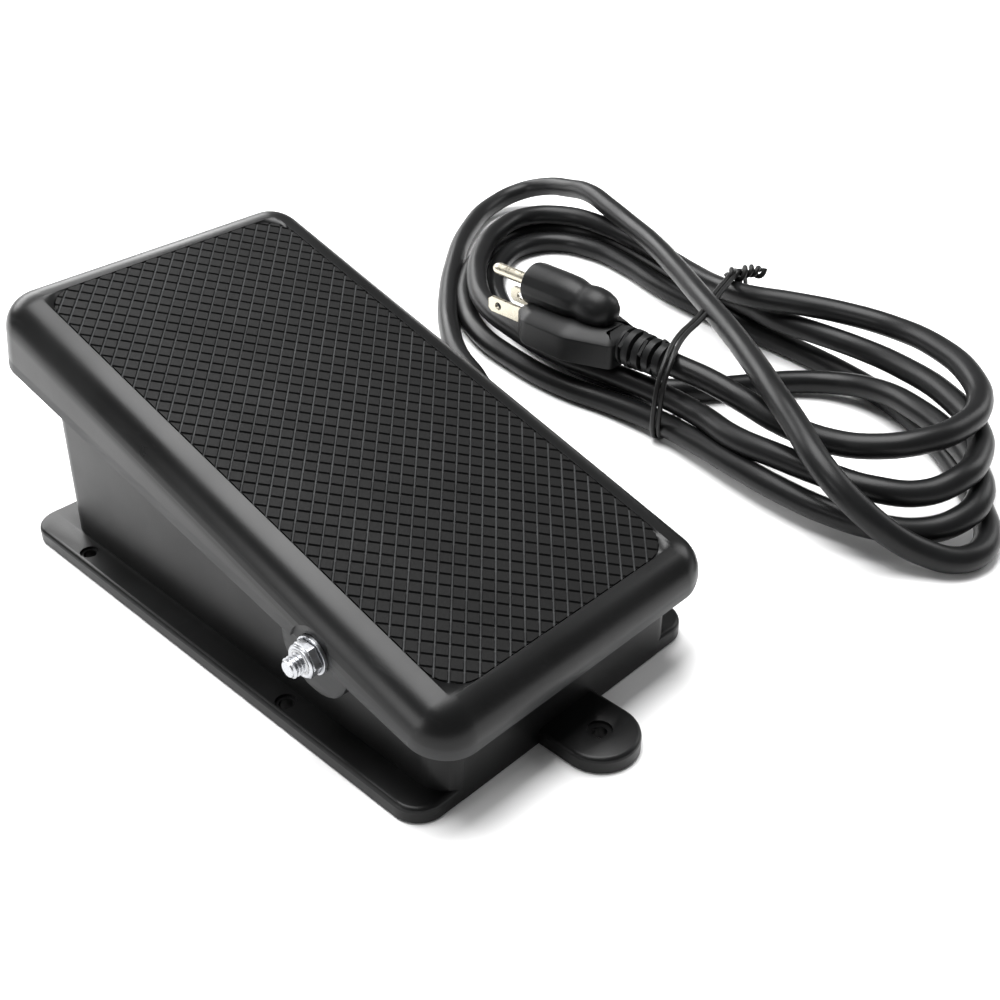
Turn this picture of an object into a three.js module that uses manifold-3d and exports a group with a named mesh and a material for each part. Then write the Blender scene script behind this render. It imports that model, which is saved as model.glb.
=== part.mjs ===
// Foot control pedal: a wedge-shaped moulded base, a treadle hinged on one long bolt,
// a rubber tread mat, the speed control inside, and a mains cord coiled beside it.
// Units are millimetres. +Z is up, +Y points to the high end, the origin is at the bottom
// centre of the whole pedal, and the treadle turns about a bolt that runs along X.
import * as THREE from 'three';
import { mergeVertices } from 'three/addons/utils/BufferGeometryUtils.js';
import Module from 'manifold-3d';

const wasm = await Module();
wasm.setup();

// ---- driving dimensions -------------------------------------------------
const GAP = 0.3; // clearance between pieces that touch

// base housing
const FOOT_HEIGHT = 0.6;
const FLANGE_WIDTH = 110.8;
const FLANGE_LENGTH = 185;
const FLANGE_TOP = 5.5;
const FLANGE_CORNER = 8.5;
const BODY_WIDTH = 93;
const BODY_FRONT = -92.5;
const BODY_REAR = 81.5;
const WALL = 2.8;
const DRAFT = Math.tan(THREE.MathUtils.degToRad(1.2));
const LID_FRONT_HEIGHT = 32.4;
const LID_SLOPE = 0.215;
const FLANGE_HOLES = [[51.1, 63.3], [51.1, -35.5], [-51.1, 63.3], [-51.1, -35.5]];
const TAB_HALF_WIDTH = 11.2;
const TAB_REACH = 11.7;

// treadle, in its own frame: y runs up the slope from the front edge, z is square to the mat
const TILT = THREE.MathUtils.degToRad(15.85);
const TREADLE_WIDTH = 107;
const TREADLE_LENGTH = 197.6;
const TREADLE_FRONT = [-102.8, 35];
const TREADLE_CORNER = 12;
const TREADLE_EDGE = 10.5;
const SKIRT_FRONT = 11.5;
const SKIRT_REAR = 24.5;
const TREADLE_TOP = 3.6;
const MAT_INSET = 10.9;
const MAT_THICKNESS = 1.6;
const MAT_CORNER = 10;

// pivot
const PIVOT = [-53, 34];
const BOLT_DIAMETER = 5.9;
const BOLT_TIP = -61.2;
const LUG_OUTER = 52.7;
const LUG_THICKNESS = 3;
const LUG_RADIUS = 12.8;
const BUSH_DIAMETER = 9.6;

// return spring and push rod
const SPRING_Y = 46;
const SPRING_BOTTOM = 40;
const SPRING_RADIUS = 6.2;
const WELL_RADIUS = 8.2;
const ROD_Y = 4;
const ROD_DIAMETER = 8;

// speed control
const BOARD_Y = 24;
const SOCKET_CENTRE_Z = 36;
const SOCKET_SCREW_X = 22;
const CLAMP_X = 30;

// mains cord
const CORD_DIAMETER = 8.8;
const EXIT_Y = 8;
const EXIT_Z = 18;
const GLAND_END = 72;
const CLAMP_SCREW_Y = [EXIT_Y - 10, EXIT_Y + 10];
const HANK_HEIGHT = 18;
const HANK_UPPER_HEIGHT = 27;
const FREE_ROUTE = [
  [72.4, 8, 18], [81, 9.2, 14.8], [90, 14.5, 10], [98, 25, 6.3], [106, 41, 4.9],
  [115.5, 58, 4.8], [123.3, 74.7, 4.8], [136.3, 92.9, 4.8], [152.8, 111.1, 4.8],
  [182.9, 138.2, 4.8], [217.2, 162.9, 4.8], [247, 175.1, 5.6], [262.6, 172.1, 8.6], [268.2, 160.3, 12.8],
  [265.9, 143, 17.2], [257.2, 121.6, 22.6], [247.7, 101.4, 23.6], [238.2, 81.3, 23.9],
  [227.3, 60.7, 25], [207.9, 31.4, 27.2], [193.7, 11.8, 29], [169.6, -22.4, 31.5],
  [152.6, -44.7, 32.8], [141.5, -59.2, 33], [132.1, -73.2, 31.8], [119.9, -94.7, 26.5],
  [119.6, -109.6, 18.5], [124.5, -120.4, 11], [129.5, -128.4, 7], [134.3, -134.5, 5.2],
  [140.7, -138, 4.8],
];

// ---- solids -------------------------------------------------------------
function solid(geometry) {
  const bare = geometry.clone();
  bare.deleteAttribute('normal');
  bare.deleteAttribute('uv');
  const merged = mergeVertices(bare, 1e-4);
  return new wasm.Manifold(new wasm.Mesh({
    numProp: 3,
    vertProperties: new Float32Array(merged.attributes.position.array),
    triVerts: new Uint32Array(merged.index.array),
  }));
}

function geometryOf(manifold) {
  const mesh = manifold.getMesh();
  const geometry = new THREE.BufferGeometry();
  geometry.setAttribute('position', new THREE.BufferAttribute(new Float32Array(mesh.vertProperties), 3));
  geometry.setIndex(new THREE.BufferAttribute(new Uint32Array(mesh.triVerts), 1));
  geometry.computeVertexNormals();
  return geometry;
}

function box(width, length, height, x, y, z) {
  return solid(new THREE.BoxGeometry(width, length, height).translate(x, y, z));
}

// a cylinder along Z, from z0 to z1
function post(radius, z0, z1, x = 0, y = 0, sides = 20) {
  const cylinder = new THREE.CylinderGeometry(radius, radius, z1 - z0, sides).rotateX(Math.PI / 2);
  return solid(cylinder.translate(x, y, (z0 + z1) / 2));
}

// a cylinder along X, from x0 to x1
function crossPost(radius, x0, x1, y, z, sides = 20) {
  const cylinder = new THREE.CylinderGeometry(radius, radius, x1 - x0, sides).rotateZ(Math.PI / 2);
  return solid(cylinder.translate((x0 + x1) / 2, y, z));
}

// a turned piece along Z from [radius, height] pairs
function turned(profile, sides = 20) {
  const points = profile.map(([r, z]) => new THREE.Vector2(r, z));
  return new THREE.LatheGeometry(points, sides).rotateX(Math.PI / 2);
}

function roundedOutline(halfWidth, y0, y1, radius) {
  const shape = new THREE.Shape();
  shape.moveTo(-halfWidth + radius, y0);
  shape.lineTo(halfWidth - radius, y0);
  shape.absarc(halfWidth - radius, y0 + radius, radius, -Math.PI / 2, 0);
  shape.lineTo(halfWidth, y1 - radius);
  shape.absarc(halfWidth - radius, y1 - radius, radius, 0, Math.PI / 2);
  shape.lineTo(-halfWidth + radius, y1);
  shape.absarc(-halfWidth + radius, y1 - radius, radius, Math.PI / 2, Math.PI);
  shape.lineTo(-halfWidth, y0 + radius);
  shape.absarc(-halfWidth + radius, y0 + radius, radius, Math.PI, 1.5 * Math.PI);
  return shape;
}

// a plate from z0 to z1 whose upper edge is rounded
function softPlate(shape, z0, z1, edge, edgeSteps = 3, curveSegments = 8) {
  const depth = z1 - z0;
  const geometry = new THREE.ExtrudeGeometry(shape, {
    depth, bevelEnabled: true, bevelThickness: edge, bevelSize: edge, bevelOffset: -edge,
    bevelSegments: edgeSteps, curveSegments,
  });
  geometry.translate(0, 0, z0 - edge);
  return solid(geometry).subtract(box(800, 800, 200, 0, 0, z0 - 100));
}

function plate(shape, z0, z1, curveSegments = 5) {
  const options = { depth: z1 - z0, bevelEnabled: false, curveSegments };
  return solid(new THREE.ExtrudeGeometry(shape, options).translate(0, 0, z0));
}

// an outline in the Y-Z plane, extruded along X from x0
function sidePlate(shape, x0, thickness) {
  const geometry = new THREE.ExtrudeGeometry(shape, { depth: thickness, bevelEnabled: false, curveSegments: 8 });
  const turn = new THREE.Matrix4().set(0, 0, 1, x0, 1, 0, 0, 0, 0, 1, 0, 0, 0, 0, 0, 1);
  return solid(geometry.applyMatrix4(turn));
}

function circle(x, y, radius) {
  const shape = new THREE.Shape();
  shape.absarc(x, y, radius, 0, 2 * Math.PI);
  return shape;
}

// two discs of different size joined by their outer tangents
function taperedStadium(ax, ay, ar, bx, by, br) {
  const heading = Math.atan2(by - ay, bx - ax);
  const lean = Math.acos((ar - br) / Math.hypot(bx - ax, by - ay));
  const shape = new THREE.Shape();
  shape.absarc(ax, ay, ar, heading + lean, heading - lean + 2 * Math.PI);
  shape.absarc(bx, by, br, heading - lean, heading + lean);
  return shape;
}

// ---- heights on the sloping faces ---------------------------------------
function lidHeight(y) {
  return LID_FRONT_HEIGHT + (y - BODY_FRONT) * LID_SLOPE;
}

function treadleUnderside(y) {
  return TREADLE_FRONT[1] + (y - TREADLE_FRONT[0]) * Math.tan(TILT) - TREADLE_TOP / Math.cos(TILT);
}

// world (y, z) to the treadle's own frame
function inTreadle(y, z) {
  const dy = y - TREADLE_FRONT[0];
  const dz = z - TREADLE_FRONT[1];
  return [dy * Math.cos(TILT) + dz * Math.sin(TILT), -dy * Math.sin(TILT) + dz * Math.cos(TILT)];
}

// ---- materials ----------------------------------------------------------
const BLACK_PLASTIC = new THREE.MeshStandardMaterial({ color: 0x17181a, roughness: 0.38, metalness: 0 });
const TREADLE_PLASTIC = new THREE.MeshStandardMaterial({ color: 0x141517, roughness: 0.34, metalness: 0 });
const MAT_RUBBER = new THREE.MeshStandardMaterial({ color: 0x121212, roughness: 0.75, metalness: 0 });
const CORD_PVC = new THREE.MeshStandardMaterial({ color: 0x161719, roughness: 0.5, metalness: 0 });
const ZINC = new THREE.MeshStandardMaterial({ color: 0xc9ccce, roughness: 0.28, metalness: 1 });
const SPRING_STEEL = new THREE.MeshStandardMaterial({ color: 0x8b8d90, roughness: 0.35, metalness: 1 });
const BRASS = new THREE.MeshStandardMaterial({ color: 0xd8cfae, roughness: 0.25, metalness: 1 });
const NYLON = new THREE.MeshStandardMaterial({ color: 0xe6e3d8, roughness: 0.55, metalness: 0 });
const BOARD_GREEN = new THREE.MeshStandardMaterial({ color: 0x1f5a34, roughness: 0.6, metalness: 0 });
const ALUMINIUM = new THREE.MeshStandardMaterial({ color: 0xb9bcc0, roughness: 0.4, metalness: 1 });
const COPPER = new THREE.MeshStandardMaterial({ color: 0xa5622e, roughness: 0.35, metalness: 1 });
const WIRE_BLACK = new THREE.MeshStandardMaterial({ color: 0x1b1b1c, roughness: 0.5, metalness: 0 });
const WIRE_WHITE = new THREE.MeshStandardMaterial({ color: 0xe8e8e4, roughness: 0.5, metalness: 0 });
const WIRE_GREEN = new THREE.MeshStandardMaterial({ color: 0x2f8a3c, roughness: 0.5, metalness: 0 });

// ---- scene graph --------------------------------------------------------
// the pieces are laid out about the body's centre; the whole is moved so that the origin
// is under the middle of the pedal's overall size, bolt and treadle included
const MIDDLE_SHIFT = [1.3, 10.7, 0];
const group = new THREE.Group();
const assembly = new THREE.Group();
assembly.position.set(...MIDDLE_SHIFT);
group.add(assembly);

function add(name, geometry, material, position = [0, 0, 0], rotation = [0, 0, 0], parent = assembly) {
  const mesh = new THREE.Mesh(geometry, material);
  mesh.name = name;
  mesh.position.set(...position);
  mesh.rotation.set(...rotation);
  parent.add(mesh);
}

const treadleFrame = new THREE.Group();
treadleFrame.position.set(0, ...TREADLE_FRONT);
treadleFrame.rotation.x = TILT;
assembly.add(treadleFrame);

// ---- base housing -------------------------------------------------------
// a drafted block, inset from the body's outline and cut off under the sloping lid
function draftedBlock(inset, z0, lidDrop) {
  const outline = roundedOutline(BODY_WIDTH / 2 - inset, BODY_FRONT + inset, BODY_REAR - inset, 8 - inset * 0.7);
  const geometry = new THREE.ExtrudeGeometry(outline, { depth: 100, bevelEnabled: false, curveSegments: 8 });
  geometry.translate(0, 0, z0);
  const middle = (BODY_FRONT + BODY_REAR) / 2;
  const position = geometry.attributes.position;
  for (let i = 0; i < position.count; i += 1) {
    const rise = position.getZ(i) - FLANGE_TOP;
    position.setX(i, position.getX(i) * (1 - rise * DRAFT / (BODY_WIDTH / 2)));
    position.setY(i, middle + (position.getY(i) - middle) * (1 - rise * DRAFT / (BODY_REAR - middle)));
  }
  const slope = Math.atan(LID_SLOPE);
  const cutter = new THREE.BoxGeometry(300, 500, 200).translate(0, 0, 100).rotateX(slope);
  cutter.translate(0, BODY_FRONT, LID_FRONT_HEIGHT - lidDrop);
  return solid(geometry).subtract(solid(cutter));
}

const COVER_SCREWS = [[36.5, 69], [-36.5, 69], [36.5, -78], [-36.5, -78]];

function baseHousing() {
  const flange = softPlate(
    roundedOutline(FLANGE_WIDTH / 2, -FLANGE_LENGTH / 2, FLANGE_LENGTH / 2, FLANGE_CORNER),
    FOOT_HEIGHT, FLANGE_TOP, 1.4);
  const tabCentre = -FLANGE_LENGTH / 2 - TAB_REACH;
  const tabShape = new THREE.Shape();
  tabShape.moveTo(TAB_HALF_WIDTH, tabCentre);
  tabShape.lineTo(TAB_HALF_WIDTH, -FLANGE_LENGTH / 2 + 8);
  tabShape.lineTo(-TAB_HALF_WIDTH, -FLANGE_LENGTH / 2 + 8);
  tabShape.absarc(0, tabCentre, TAB_HALF_WIDTH, Math.PI, 2 * Math.PI);
  let housing = flange.add(softPlate(tabShape, FOOT_HEIGHT, FLANGE_TOP, 1.4, 3, 16));
  housing = housing.add(draftedBlock(0, FOOT_HEIGHT, 0));
  housing = housing.subtract(draftedBlock(WALL, FOOT_HEIGHT - 1, WALL));

  // posts for the cover screws
  for (const [x, y] of COVER_SCREWS) {
    housing = housing.add(post(4.5, 4.2, lidHeight(y) - 1.5, x, y, 12));
    housing = housing.subtract(post(1.5, 0, 16, x, y, 8));
  }

  // bosses for the cord clamp and the outlet, and slotted ribs for the circuit board
  for (const y of CLAMP_SCREW_Y) {
    housing = housing.add(post(3.2, 26.2, lidHeight(y) - 1, CLAMP_X, y, 12));
    housing = housing.subtract(post(1.5, 20, 36, CLAMP_X, y, 8));
  }
  for (const side of [-1, 1]) {
    const boss = new THREE.CylinderGeometry(3.4, 3.4, 10, 12);
    housing = housing.add(solid(boss.translate(side * SOCKET_SCREW_X, 74.5, SOCKET_CENTRE_Z)));
    housing = housing.add(box(9, 7, 30, side * 40, BOARD_Y, 27));
    housing = housing.subtract(box(6, 2.2, 40, side * 36.5, BOARD_Y, 27));
  }

  // guide for the push rod, and the spring's well
  const guide = post(7, lidHeight(ROD_Y) - 12, lidHeight(ROD_Y) + 0.2, 0, ROD_Y);
  housing = housing.add(guide).subtract(post(ROD_DIAMETER / 2 + GAP, 20, 80, 0, ROD_Y));
  housing = housing.add(post(WELL_RADIUS + 2, SPRING_BOTTOM - 2.3, lidHeight(SPRING_Y) + 0.5, 0, SPRING_Y));
  housing = housing.subtract(post(WELL_RADIUS, SPRING_BOTTOM - GAP, 90, 0, SPRING_Y));

  // bearing holes, cord entry, socket window
  housing = housing.subtract(crossPost(BUSH_DIAMETER / 2 + 0.25, -60, 60, ...PIVOT));
  housing = housing.subtract(crossPost(5.4, 38, 60, EXIT_Y, EXIT_Z));
  housing = housing.subtract(box(33, 12, 27, 0, BODY_REAR, SOCKET_CENTRE_Z));
  for (const x of [-SOCKET_SCREW_X, SOCKET_SCREW_X]) {
    const screwHole = new THREE.CylinderGeometry(1.6, 1.6, 16, 8).translate(x, BODY_REAR - 2, SOCKET_CENTRE_Z);
    housing = housing.subtract(solid(screwHole));
  }

  // mounting holes with a shallow countersink
  const holes = [...FLANGE_HOLES, [0, tabCentre]];
  for (const [x, y] of holes) {
    const sink = x === 0 ? 3.6 : 3;
    housing = housing.subtract(post(2.1, -1, 10, x, y, 16));
    housing = housing.subtract(post(sink, FLANGE_TOP - 0.9, 10, x, y, 16));
  }
  return geometryOf(housing);
}

function bottomCover() {
  const outline = roundedOutline(BODY_WIDTH / 2 - WALL - 0.6, BODY_FRONT + WALL + 0.6, BODY_REAR - WALL - 0.6, 5);
  let cover = plate(outline, 1.8, 3.9);
  for (const [x, y] of COVER_SCREWS) {
    cover = cover.subtract(post(2, 0, 6, x, y, 12));
  }
  return geometryOf(cover);
}

// pan-head screw, head at the bottom, threaded end up
function screw(shank, head, length) {
  return turned([[0, 0], [head, 0], [head, 1.1], [shank, 1.3], [shank, length], [0, length + 0.6]], 12);
}

function rubberFoot() {
  return turned([[0, 0], [5.4, 0], [6, 0.5], [6, 1.5], [0, 1.5]], 16);
}

// ---- treadle and mat ----------------------------------------------------
function treadleShell(inset, topDrop, edge, edgeSteps, curveSegments) {
  const outline = roundedOutline(
    TREADLE_WIDTH / 2 - inset, inset, TREADLE_LENGTH - inset, TREADLE_CORNER - inset * 0.8);
  const geometry = new THREE.ExtrudeGeometry(outline, {
    depth: 40, bevelEnabled: true, bevelThickness: edge, bevelSize: edge, bevelOffset: -edge,
    bevelSegments: edgeSteps, curveSegments,
  });
  return solid(geometry.translate(0, 0, -40 - edge - topDrop));
}

function treadle() {
  const shell = treadleShell(0, 0, TREADLE_EDGE, 8, 10);
  const hollow = treadleShell(WALL, TREADLE_TOP, TREADLE_EDGE - WALL, 3, 5);
  let part = shell.subtract(hollow);

  // skirt's lower edge, deeper at the high end
  const lean = Math.atan((SKIRT_REAR - SKIRT_FRONT) / TREADLE_LENGTH);
  const below = new THREE.BoxGeometry(300, 600, 120).translate(0, 0, -60).rotateX(-lean);
  part = part.subtract(solid(below.translate(0, 0, -SKIRT_FRONT)));

  // hinge lugs and the spot face around the bolt
  const [pivotY, pivotZ] = inTreadle(...PIVOT);
  const lug = new THREE.Shape();
  lug.moveTo(pivotY - LUG_RADIUS - 1.6, -TREADLE_EDGE + 2);
  lug.lineTo(pivotY - LUG_RADIUS, pivotZ);
  lug.absarc(pivotY, pivotZ, LUG_RADIUS, Math.PI, 2 * Math.PI);
  lug.lineTo(pivotY + LUG_RADIUS + 1.6, -TREADLE_EDGE + 2);
  for (const side of [-1, 1]) {
    const inner = LUG_OUTER - LUG_THICKNESS;
    const near = side > 0 ? inner : -LUG_OUTER;
    part = part.add(sidePlate(lug, near, LUG_THICKNESS));
    part = part.subtract(crossPost(8.4, side > 0 ? LUG_OUTER : -70, side > 0 ? 70 : -LUG_OUTER, pivotY, pivotZ, 24));
  }
  part = part.subtract(crossPost(BOLT_DIAMETER / 2 + 0.25, -70, 70, pivotY, pivotZ));

  // pocket for the mat
  const pocket = roundedOutline(
    TREADLE_WIDTH / 2 - MAT_INSET + GAP, MAT_INSET - GAP, TREADLE_LENGTH - MAT_INSET + GAP, MAT_CORNER);
  part = part.subtract(plate(pocket, -MAT_THICKNESS, 5, 8));

  // spigot that centres the return spring, upright in the world
  const [springY, springZ] = inTreadle(SPRING_Y, treadleUnderside(SPRING_Y));
  const spigot = new THREE.CylinderGeometry(4.6, 4.2, 16, 16).rotateX(Math.PI / 2).rotateX(-TILT);
  part = part.add(solid(spigot.translate(0, springY, springZ)).subtract(box(40, 40, 20, 0, springY, springZ + 11.2)));
  return geometryOf(part);
}

function treadMat() {
  const outline = roundedOutline(TREADLE_WIDTH / 2 - MAT_INSET, MAT_INSET, TREADLE_LENGTH - MAT_INSET, MAT_CORNER);
  return geometryOf(plate(outline, GAP - MAT_THICKNESS, 0.1, 8));
}

// ---- pivot hardware, all turned along X ---------------------------------
function pivotBolt() {
  const headFace = LUG_OUTER + 1.9;
  const shank = turned([[0, BOLT_TIP], [2.3, BOLT_TIP], [BOLT_DIAMETER / 2, BOLT_TIP + 0.8],
    [BOLT_DIAMETER / 2, headFace + 0.5], [0, headFace + 0.5]]);
  const head = new THREE.CylinderGeometry(5.77, 5.77, 4, 6).rotateX(Math.PI / 2).translate(0, 0, headFace + 2);
  return geometryOf(solid(shank).add(solid(head)));
}

function lockNut() {
  const hex = new THREE.CylinderGeometry(5.77, 5.77, 3.4, 6).rotateX(Math.PI / 2).translate(0, 0, 1.7);
  const collar = turned([[0, 3], [4.9, 3], [4.9, 4.2], [4.1, 5], [0, 5]]);
  return geometryOf(solid(hex).add(solid(collar)).subtract(post(BOLT_DIAMETER / 2 + 0.2, -1, 9)));
}

function washer() {
  return geometryOf(post(6.2, 0, 1.3, 0, 0, 24).subtract(post(BOLT_DIAMETER / 2 + 0.25, -1, 3)));
}

// flanged bush: the neck goes through the wall, the flange spaces the lug off it
function pivotBush() {
  const neck = post(BUSH_DIAMETER / 2, -3.6, 1);
  const flange = post(7.2, 0, 3.1);
  return geometryOf(neck.add(flange).subtract(post(BOLT_DIAMETER / 2 + 0.15, -9, 9)));
}

// ---- return spring, push rod and speed control --------------------------
function returnSpring() {
  const height = treadleUnderside(SPRING_Y) - 1.8 - GAP - SPRING_BOTTOM;
  const wire = 0.8;
  const turns = 6;
  class Helix extends THREE.Curve {
    getPoint(t) {
      const angle = t * turns * 2 * Math.PI;
      const z = wire + t * (height - 2 * wire);
      return new THREE.Vector3(SPRING_RADIUS * Math.cos(angle), SPRING_RADIUS * Math.sin(angle), z);
    }
  }
  const options = { steps: turns * 14, extrudePath: new Helix(), bevelEnabled: false, curveSegments: 2 };
  return new THREE.ExtrudeGeometry(circle(0, 0, wire), options);
}

function pushRod() {
  const top = treadleUnderside(ROD_Y) - 0.5;
  const radius = ROD_DIAMETER / 2;
  return turned([[0, 30], [radius, 30], [radius, top - 2.8], [2.6, top - 1.2], [0, top - 0.6]]);
}

function wiperCarriage() {
  const block = box(14, 12, 6, 0, ROD_Y + 2, 26.6);
  return geometryOf(block.add(box(2.6, 5, 3, 0, ROD_Y + 9.5, 26.6)));
}

function slidePotentiometer() {
  const body = box(10, 7, 34, 0, BOARD_Y - 4.8, 26);
  return geometryOf(body.subtract(box(3.4, 4, 22, 0, BOARD_Y - 8, 26)));
}

function heatSink() {
  let sink = box(26, 2, 24, -20, BOARD_Y + 7, 24);
  for (let i = 0; i < 4; i += 1) {
    sink = sink.add(box(1.4, 9, 24, -31 + i * 7.3, BOARD_Y + 12, 24));
  }
  return geometryOf(sink);
}

function chokeCoil() {
  const ring = turned([[4, -3.5], [9, -3.5], [9, 3.5], [4, 3.5], [4, -3.5]]);
  return ring;
}

function outletSocket() {
  const y = BODY_REAR;
  let socket = box(52, 2.4, 33, 0, y + 1.6, SOCKET_CENTRE_Z);
  socket = socket.add(box(31.5, 22, 25.5, 0, y - 9.5, SOCKET_CENTRE_Z));
  for (const [x, z, width, height] of [[-6.35, 4, 2.2, 8.2], [6.35, 4, 2.2, 9.6]]) {
    socket = socket.subtract(box(width, 16, height, x, y, SOCKET_CENTRE_Z + z));
  }
  const earth = new THREE.CylinderGeometry(2.7, 2.7, 16, 12).translate(0, y, SOCKET_CENTRE_Z - 7.5);
  socket = socket.subtract(solid(earth));
  for (const x of [-SOCKET_SCREW_X, SOCKET_SCREW_X]) {
    const hole = new THREE.CylinderGeometry(1.8, 1.8, 8, 10).translate(x, y, SOCKET_CENTRE_Z);
    const sink = new THREE.CylinderGeometry(3.2, 3.2, 4, 16).translate(x, y + 3.3, SOCKET_CENTRE_Z);
    socket = socket.subtract(solid(hole)).subtract(solid(sink));
  }
  return geometryOf(socket);
}

// ---- wires, cord and plug -----------------------------------------------
function tube(points, radius, sides, steps) {
  const curve = new THREE.CatmullRomCurve3(points.map((p) => new THREE.Vector3(...p)), false, 'centripetal');
  const section = new THREE.Shape();
  for (let i = 0; i < sides; i += 1) {
    const angle = i * 2 * Math.PI / sides;
    const corner = [radius * Math.cos(angle), radius * Math.sin(angle)];
    if (i === 0) {
      section.moveTo(...corner);
    } else {
      section.lineTo(...corner);
    }
  }
  section.closePath();
  return new THREE.ExtrudeGeometry(section, { steps, extrudePath: curve, bevelEnabled: false });
}

// tapered strain relief along X: neck inside the wall, shoulder outside, taper to the cord
function cordGland() {
  const wallFace = BODY_WIDTH / 2 - (EXIT_Z - FLANGE_TOP) * DRAFT;
  const profile = [[CORD_DIAMETER / 2 + 0.3, wallFace - WALL - 3], [6.6, wallFace - WALL - 3],
    [6.6, wallFace - WALL - GAP], [5.1, wallFace - WALL - GAP], [5.1, wallFace + GAP],
    [8, wallFace + GAP], [8, wallFace + 3.5], [7, wallFace + 4.5], [5.5, GLAND_END],
    [CORD_DIAMETER / 2 + 0.3, GLAND_END], [CORD_DIAMETER / 2 + 0.3, wallFace - WALL - 3]];
  return turned(profile);
}

function cordClamp() {
  let clamp = box(8, 26, 3, CLAMP_X, EXIT_Y, 11.9);
  for (const y of CLAMP_SCREW_Y) {
    clamp = clamp.add(box(8, 6, 15.5, CLAMP_X, y, 18.15)).subtract(post(1.6, 0, 40, CLAMP_X, y, 10));
  }
  return geometryOf(clamp);
}

const HANK_NEAR = [170, -84, 50];
const HANK_FAR_LEFT = [190, 75, 47];
const HANK_FAR_RIGHT = [212, 98, 45];
const HANK_UPPER = [182, -70, 48, 158, -48, 22];

function cordHank() {
  const ends = [[HANK_NEAR, HANK_FAR_LEFT], [HANK_NEAR, HANK_FAR_RIGHT], [HANK_FAR_LEFT, HANK_FAR_RIGHT]];
  const parts = ends.map(([a, b]) => plate(taperedStadium(...a, ...b), 0.1, HANK_HEIGHT, 12));
  const lower = parts[0].add(parts[1]).add(parts[2]);
  const upper = plate(taperedStadium(...HANK_UPPER), HANK_HEIGHT - 1, HANK_UPPER_HEIGHT, 12);
  return geometryOf(lower.add(upper));
}

// plug frame: +X is the way the prongs point, +Z is up
const PLUG_PLACE = [144.5, 54, HANK_HEIGHT + GAP];
const PLUG_TURN = [0, 0, Math.PI / 2];
const PLUG_BODY_LENGTH = 47;
const GROUND_PIN_Z = 17.7;
const BLADE_Z = GROUND_PIN_Z - 11.9;
const BLADE_Y = 6.35;

function plugBody() {
  const outline = new THREE.Shape();
  outline.moveTo(0, -9);
  outline.lineTo(0, 9);
  outline.lineTo(-8, 15.5);
  outline.lineTo(-28, 15.5);
  outline.lineTo(-PLUG_BODY_LENGTH, 8.5);
  outline.lineTo(-PLUG_BODY_LENGTH, -8.5);
  outline.lineTo(-28, -15.5);
  outline.lineTo(-8, -15.5);
  const slab = softPlate(outline, 0, 13, 2, 2, 2);
  const grip = new THREE.CapsuleGeometry(8.5, 40, 6, 16).rotateZ(Math.PI / 2);
  const boss = solid(grip.translate(-12, 0, GROUND_PIN_Z)).subtract(box(60, 60, 80, 30, 0, 10));
  return geometryOf(slab.add(boss).subtract(box(200, 80, 20, 0, 0, -10)));
}

function plugRelief() {
  return turned([[0, 0], [7, 0], [6.8, 5], [5.4, 20], [0, 20]], 16).rotateY(-Math.PI / 2);
}

function groundPin() {
  const profile = [[0, 0], [2.4, 0], [2.4, 18.6], [1.4, 20.6], [0, 20.8]];
  return turned(profile, 14).rotateY(Math.PI / 2);
}

function blade(width) {
  const outline = new THREE.Shape();
  outline.moveTo(0, -width / 2);
  outline.lineTo(15.6, -width / 2);
  outline.lineTo(17.2, -width / 2 + 1.2);
  outline.lineTo(17.2, width / 2 - 1.2);
  outline.lineTo(15.6, width / 2);
  outline.lineTo(0, width / 2);
  outline.holes.push(new THREE.Path().absarc(12, 0, 1.6, 0, 2 * Math.PI));
  const options = { depth: 1.5, bevelEnabled: false, curveSegments: 6 };
  return new THREE.ExtrudeGeometry(outline, options).translate(0, 0, -0.75).rotateX(Math.PI / 2);
}

// a wire band over the hank, with a twisted tail on the far side
function twistTie() {
  const band = [[124, -25.7, 2], [124, -25.7, 15], [126, -24.9, 20], [132, -22.5, 21.4],
    [160, -11.6, 21.6], [200, 4.1, 21.6], [234, 17.4, 21.4], [244, 21.3, 19], [246.5, 22.3, 12], [246.5, 22.3, 2]];
  const tail = [[232, 16.6, 21.4], [238, 12, 23.5], [246, 9, 24.5]];
  return geometryOf(solid(tube(band, 1.1, 8, 26)).add(solid(tube(tail, 1.6, 8, 6))));
}

function triac() {
  return geometryOf(box(10, 4.4, 15, -20, BOARD_Y + 3.4, 26));
}

// a rubber disc lying on the sloping lid
function lidPad(x, y, radius, thickness) {
  const disc = post(radius, GAP, GAP + thickness, 0, 0, 16);
  return geometryOf(disc.rotate([THREE.MathUtils.radToDeg(Math.atan(LID_SLOPE)), 0, 0]).translate([x, y, lidHeight(y)]));
}

// wires between the cord's end, the circuit board and the outlet
const LINE_IN = [[23.5, 6.5, 19.5], [20, 8, 26], [23.5, 14, 33], [24, 22.6, 33]];
const NEUTRAL_IN = [[23.5, 9.8, 18], [22.8, 12.5, 13.5], [24, 18, 10], [24, 22.6, 10]];
const EARTH = [[23.5, 8, 15.6], [24, 2, 7.6], [32, -8.5, 6.4], [40, 4, 6.4], [40.4, 24, 7],
  [38, 45, 19], [20, 55, 26], [5, 57, 28.5], [0, 59.6, 28.5]];
const LINE_OUT = [[10, 25.3, 33], [12, 40, 32], [9, 55, 35], [6.35, 59.3, 38]];
const NEUTRAL_OUT = [[-4, 25.3, 32], [-4.5, 42, 31], [-7, 54, 34], [-6.35, 59.3, 38]];

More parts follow.
